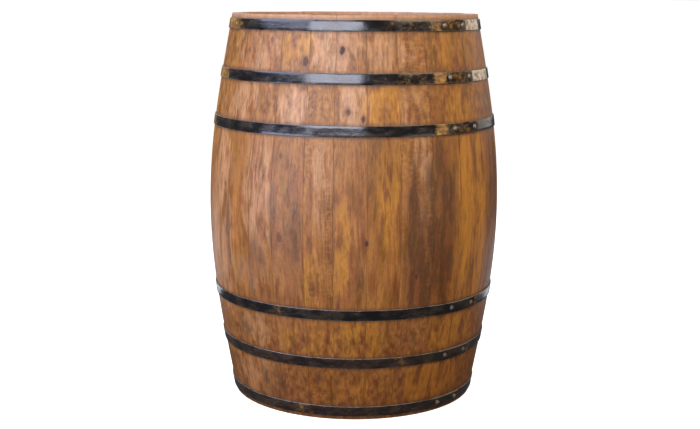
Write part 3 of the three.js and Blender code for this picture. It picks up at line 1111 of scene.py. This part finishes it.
# Hoops: a flat strip round the cask, lapped and riveted at the front right
hoop = {
    "width": 0.024,
    "thickness": 0.002,
    "corner": 0.0007,
    "cornerSteps": 3,
    "endCorner": 0.003,
    "endSteps": (0, 0.0002, 0.0006, 0.0012, 0.002, 0.003),
    "fit": 0.0001,
    "lapSpace": 0.0001,
    "first": 38.0,
    "turn": 378.0,
    "ramp": 6.0,
    "waviness": 0.00022,
    "steps": 340,
    "black": [(0, 15, 14, 16), (0.5, 25, 21, 20), (1, 44, 35, 28)],
    "zinc": [(0, 112, 96, 82), (0.5, 176, 158, 134), (1, 216, 200, 178)],
    "dust": (66, 47, 35),
    "dustHeights": (0.26, 0.15),
    "scuff": (120, 116, 110),
    # worn edges, also a painted highlight along them
    "edgeWearAndHighlightTint": (140, 134, 126),
    "rustFade": (1.6, 1.4),
    "bareEdge": 3.0,
    # rust, with a painted golden sheen on the left ends of the top hoops: hoop, angle, half width in
    # degrees, strength; hoops count from the top, 0 means all
    "rust": [
        (1, 36.5, 4, 0.5), (2, 36.3, 3.2, 1.0), (3, 35, 2.8, 0.85), (1, 46, 9, 0.34), (2, 46, 9, 0.36),
        (3, 45, 9, 0.3), (1, -76, 16, 0.95), (2, -77, 12, 0.95), (3, -82, 9, 0.7), (0, 57.5, 1.8, 0.35),
        (1, 22, 10, 0.2), (2, 22, 10, 0.22), (4, -30, 2, 0.3), (6, -22, 5, 0.3), (5, 20, 3, 0.3),
        (0, 100, 8, 0.4), (0, 141, 5, 0.45), (0, -167, 7, 0.4), (0, -118, 6, 0.45), (0, 176, 3, 0.35),
    ],
    # where the coating has come off down to bright zinc: hoop, from angle, to angle
    "bare": [(1, 56.5, 72.0), (2, 56.5, 74.5), (5, -149.0, -143.0), (3, 108.0, 112.0)],
}


def hoopBlank():
    # a straight strip: X runs from 0 to 1 along it, Y is out from the cask and Z is across it
    corner, half, thick = hoop["corner"], hoop["width"] / 2, hoop["thickness"]
    outline = []
    for start, y, z in ((0, thick - corner, half - corner), (90, corner, half - corner),
                        (180, corner, corner - half), (270, thick - corner, corner - half)):
        outline += arc((y, z), corner, start, start + 90, hoop["cornerSteps"])
    outline += [(thick, z) for z in (-half / 2, 0.0, half / 2)]
    length = math.radians(hoop["turn"]) * cask["bilge"]
    sections = []
    for share in fineEnds(hoop["endSteps"], length, hoop["steps"]):
        missing = max(hoop["endCorner"] - min(share, 1 - share) * length, 0)
        narrower = hoop["endCorner"] - math.sqrt(hoop["endCorner"] ** 2 - missing ** 2)
        sections.append([(share, y, z * (1 - narrower / half)) for y, z in outline])
    return pulledOut("hoopBlank", sections)


def leant(given, across, out):
    # up the sloping side of the cask and out from it, as a radius and a height
    upright, level = sine(given.lean), cosine(given.lean)
    return given.radius + across * upright + out * level, given.height + across * level - out * upright


def hoopTree():
    given = startTree("wrap a hoop", "GeometryNodeTree",
                      "blank radius height lean first turn ramp lapLift fit waviness seed material", "shape")
    share, out, across = splitUp(put("GeometryNodeInputPosition"))
    angle = given.first + share * given.turn
    # the strip climbs onto its own first end over the ramp
    lift = fade(share * given.turn - 2 * math.pi, given.ramp * -1.0, 0.0) * given.lapLift
    ripple = noise(joinUp(sine(angle) * 9 + given.seed, cosine(angle) * 9, across * 16), roughness=0.5)
    radius, height = leant(given, across, out + lift + given.fit + ripple * given.waviness)
    shape = store(given.blank, "stripSpace", joinUp(angle * given.radius, out, across), "FLOAT_VECTOR")
    # wrapping the strip mirrors it, so its faces are turned back
    shape = put("GeometryNodeFlipFaces", {"Mesh": movedTo(shape, roundTheCask(radius, angle, height))})
    return endShape(shape, given.material)


# Rivets: two in each lap
rivet = {
    "headRadius": 0.006,
    "headHeight": 0.003,
    "brim": 0.0005,
    "arris": 0.0002,
    "domeSteps": 9,
    "shankRadius": 0.0025,
    "shank": 0.0036,
    "sides": 40,
    "spin": 6.28,
    "spinSeed": 7,
    "narrowest": 0.94,
    "widthSeed": 3,
    "pressed": 0.96,
    "angles": (41.0, 53.0),
    "black": (36, 34, 35),
    "bright": (132, 130, 132),
}


def rivetBlank():
    # a domed head above Z = 0 and a shank below it
    tall, wide, soft, shank = rivet["headHeight"], rivet["headRadius"], rivet["arris"], rivet["shank"]
    dome = tall - rivet["brim"]
    # the sphere that rises by the dome's height over the head's width
    ball = (wide * wide + dome * dome) / (2 * dome)
    edge = math.degrees(math.asin((ball - dome) / ball))
    over = arc((0, tall - ball), ball, edge, 90, rivet["domeSteps"])
    under = [(0, -shank), (rivet["shankRadius"], -shank), (rivet["shankRadius"], 0), (wide - soft, 0)]
    return turned("rivetBlank", under + [(wide, soft)] + over[:-1] + [(0, tall)], rivet["sides"])


def randomBetween(low, high, seed):
    values = {2: low, 3: high, "Seed": seed}
    return put("FunctionNodeRandomValue", values, result=1, data_type="FLOAT")


def rivetTree():
    given = startTree("set the rivets", "GeometryNodeTree",
                      "points rivet radius height lean out seed material", "shape")
    angle = splitUp(put("GeometryNodeInputPosition"))[0]
    facing = roundTheCask(cosine(given.lean), angle, sine(given.lean) * -1.0)
    radius, height = leant(given, 0.0, given.out)
    # each head is hammered a little out of true, so it is turned and sized by chance
    spin = {"Axis": (0, 0, 1), "Angle": randomBetween(0.0, rivet["spin"], rivet["spinSeed"])}
    turn = {"Rotation": put("FunctionNodeAxisAngleToRotation", spin), "Vector": facing}
    width = randomBetween(rivet["narrowest"], 1.0, rivet["widthSeed"])
    points = movedTo(given.points, roundTheCask(radius, angle, height))
    heads = put("GeometryNodeInstanceOnPoints", {
        "Points": put("GeometryNodeMeshToPoints", {"Mesh": points}),
        "Instance": put("GeometryNodeObjectInfo", {"Object": given.rivet}, result="Geometry"),
        "Rotation": put("FunctionNodeAlignRotationToVector", turn, axis="Z"),
        "Scale": joinUp(width, 1.0, rivet["pressed"])})
    return endShape(heads, given.material)


def blackHoopSteel():
    material = startMaterial("blackHoopSteel", **{
        "Specular IOR Level": 0.66, "Specular Tint": (0.93, 0.89, 1.0, 1.0)})
    space, place = attribute("stripSpace", "Vector"), objectPlace()
    across = abs(splitUp(space)[2])
    smudge = noise(place, (26, 26, 60), 3)
    fine = noise(place, (420, 420, 520), 3, 0.65)
    scratches = noise(space, (60, 60, 1500))
    colour = ramp(fade(smudge, 0.32, 0.68), *hoop["black"])
    # dust of the floor on the lower hoops
    dusty = fade(splitUp(place)[2], *hoop["dustHeights"]) * fade(smudge, 0.3, 0.6, 0.4, 1.0)
    colour = wash(colour, dusty * 0.3, hoop["dust"])
    scuffed = fade(scratches, 0.58, 0.74) * fade(smudge, 0.42, 0.62)
    colour = wash(colour, scuffed * 0.4, hoop["scuff"])
    # rust, and a painted golden sheen on the left ends of the top hoops
    rusted = useGroup(rust, space=place, mask=attribute("rust"))
    rustAndSheen = rusted.other("amount")
    colour = blendColour(rustAndSheen * 0.85, colour, rusted)
    # the coating is rubbed off along the edges, and the pale edge is also a painted highlight
    half = hoop["width"] / 2
    edgeWearAndHighlight = fade(across + (fine - 0.5) * 0.0012, half - 0.0011, half - 0.0003) * fade(smudge, 0.3, 0.55)
    colour = wash(colour, edgeWearAndHighlight * 0.45, hoop["edgeWearAndHighlightTint"])
    # bright zinc where the coating is gone
    patchy = noise(place, (75, 75, 110), 3)
    bare = fade(attribute("bare") + (patchy - 0.5) * 1.2, 0.42, 0.62)
    zinc = ramp(fade(patchy, 0.3, 0.7), *hoop["zinc"])
    colour = blendColour(bare * 0.92, colour, zinc)
    roughness = 0.14 + fade(smudge, 0.3, 0.7) * 0.12 + rustAndSheen * 0.3 + scuffed * 0.1 + bare * 0.15
    return endMaterial(material, {
        "Base Color": colour, "Metallic": bare * 0.35, "Roughness": roughness,
        "Normal": bump(smudge * 1.5 + fine * 0.05 + rustAndSheen * 0.15, 0.0005, 0.6)})


def rivetSteel():
    material = startMaterial("wornRivetSteel", **{"Specular IOR Level": 0.5})
    place = objectPlace()
    smudge = noise(place, (240, 240, 240), 3)
    top = fade(attribute("domeHeight"), 0.0012, 0.0028)
    bare = fade(top * 0.7 + smudge * 0.6, 0.6, 1.05)
    colour = blendColour(bare, paint(*rivet["black"]), paint(*rivet["bright"]))
    rusted = useGroup(rust, space=place, mask=0.62 - top * 0.5)
    colour = blendColour(rusted.other("amount") * 0.6, colour, rusted)
    return endMaterial(material, {
        "Base Color": colour, "Metallic": bare * 0.8, "Roughness": 0.34 + smudge * 0.2,
        "Normal": bump(smudge, 0.0005, 0.5)})


def rustAndSheenStrength(number, angles):
    # rust along the hoop, and the painted golden sheen on the left ends of the top hoops
    total = np.zeros(len(angles))
    for which, angle, halfWidth, strength in hoop["rust"]:
        if which in (0, number):
            away = np.abs(turnBetween(angles, angle)) / halfWidth
            total = np.maximum(total, strength * fadeOut(away, *hoop["rustFade"]))
    return total


def bareStrength(number, angles):
    total = np.zeros(len(angles))
    for which, first, last in hoop["bare"]:
        if which == number:
            inside = np.minimum(turnBetween(angles, first), -turnBetween(angles, last))
            total = np.maximum(total, roundOff(inside / hoop["bareEdge"] + 0.5))
    return total


def makeHoops():
    tree, blank, material = hoopTree(), hoopBlank(), blackHoopSteel()
    lapLift = hoop["thickness"] + hoop["lapSpace"]
    out = hoop["fit"] + lapLift + hoop["thickness"] + hoop["waviness"] / 2
    model = newPiece("rivetModel", rivetBlank())
    addValues(model.data, "domeHeight", meshPlaces(model.data)[:, 2])
    points = bpy.data.meshes.new("rivetPlaces")
    points.from_pydata([(math.radians(angle), 0, 0) for angle in rivet["angles"]], [], [])
    setRivets, rivetMaterial = rivetTree(), rivetSteel()
    for number, name in enumerate(hoopNames, 1):
        height = sum(corner.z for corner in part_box(name + "_hoop")) / 2
        values = {
            "radius": float(radiusAt(height)), "height": height, "lean": leanAt(height),
            "seed": float(number), "fit": hoop["fit"], "waviness": hoop["waviness"],
            "lapLift": lapLift, "out": out, "rivet": model}
        values.update({label: math.radians(hoop[label]) for label in ("first", "turn", "ramp")})
        piece = runTree(name + "_steel_hoop", blank, tree, {**values, "material": material})
        angles = angleOf(meshPlaces(piece.data))
        addValues(piece.data, "rust", rustAndSheenStrength(number, angles))
        addValues(piece.data, "bare", bareStrength(number, angles))
        finishPiece(piece, "cask", [name + "_hoop"])
        rivets = runTree(name + "_rivet_heads", points, setRivets, {**values, "material": rivetMaterial})
        finishPiece(rivets, "cask", [f"{name}_hoop_rivet_1", f"{name}_hoop_rivet_2"])
    bpy.data.objects.remove(model)
    print("hoops:", len(hoopNames), "with", 2 * len(hoopNames), "rivets")


makeHoops()


# The bung: a turned, tapered plug
def bungWood():
    material = startMaterial("turnedBungWood", **{"Specular IOR Level": 0.35})
    middle, inner, outer = bungPlace()[1:]
    x, y, z = splitUp(objectPlace())
    z = z - middle
    space = joinUp(x, y - outer, z)
    figure = useGroup(grain, space=space, seed=3.0, figure=1.0)
    clouds = useGroup(mottle, space=space, seed=8.0, size=0.02)
    colour = ramp(figure, *bung["wood"])
    colour = wash(colour, fade(clouds, 0.6, 0.1) * 0.4, bung["patina"])
    away = longSide(x, z)
    turning = sine(away * 5200) * 0.5 + 0.5
    # wine has crept up the plug, and the rim is handled
    wet = fade(y, *(inner + depth for depth in bung["wineDepths"]))
    colour = wash(colour, wet * 0.75, bung["wine"])
    rim = bung["radius"]
    handled = fade(away + (clouds - 0.5) * 0.004, rim - 0.0045, rim - 0.0005)
    colour = wash(colour, handled * 0.35, bung["handled"])
    return endMaterial(material, {
        "Base Color": colour, "Roughness": 0.52 + clouds * 0.15,
        "Normal": bump(figure.other("relief") + turning * 0.5, 0.0004, 0.7)})


def makeBung():
    x, z, inner, outer = bungPlace()
    chamfer, ends = bung["chamfer"], bung["ends"]

    def radiusFor(y):
        return bungRadius(cask["bilge"] - y) - bung["clearance"]

    profile = [(0, inner), (radiusFor(inner) - chamfer, inner)]
    profile += arc((radiusFor(inner + chamfer) - chamfer, inner + chamfer), chamfer, -60, 0, 3)
    profile += [(radiusFor(y), y) for y in np.linspace(inner + ends, outer - ends, bung["rows"])]
    profile += arc((radiusFor(outer - chamfer) - chamfer, outer - chamfer), chamfer, 0, 90, 5)
    profile += [(radius, outer - depth) for radius, depth in bung["dish"]]
    mesh = turned("bungPlug", profile, bung["sides"])
    mesh.transform(Matrix.Translation((x, 0, z)) @ Matrix.Rotation(-math.pi / 2, 4, "X"))
    mesh.materials.append(bungWood())
    finishPiece(newPiece("oak_bung_plug", mesh), "bung", ["bung"], 40)
    print("bung: 1")


makeBung()
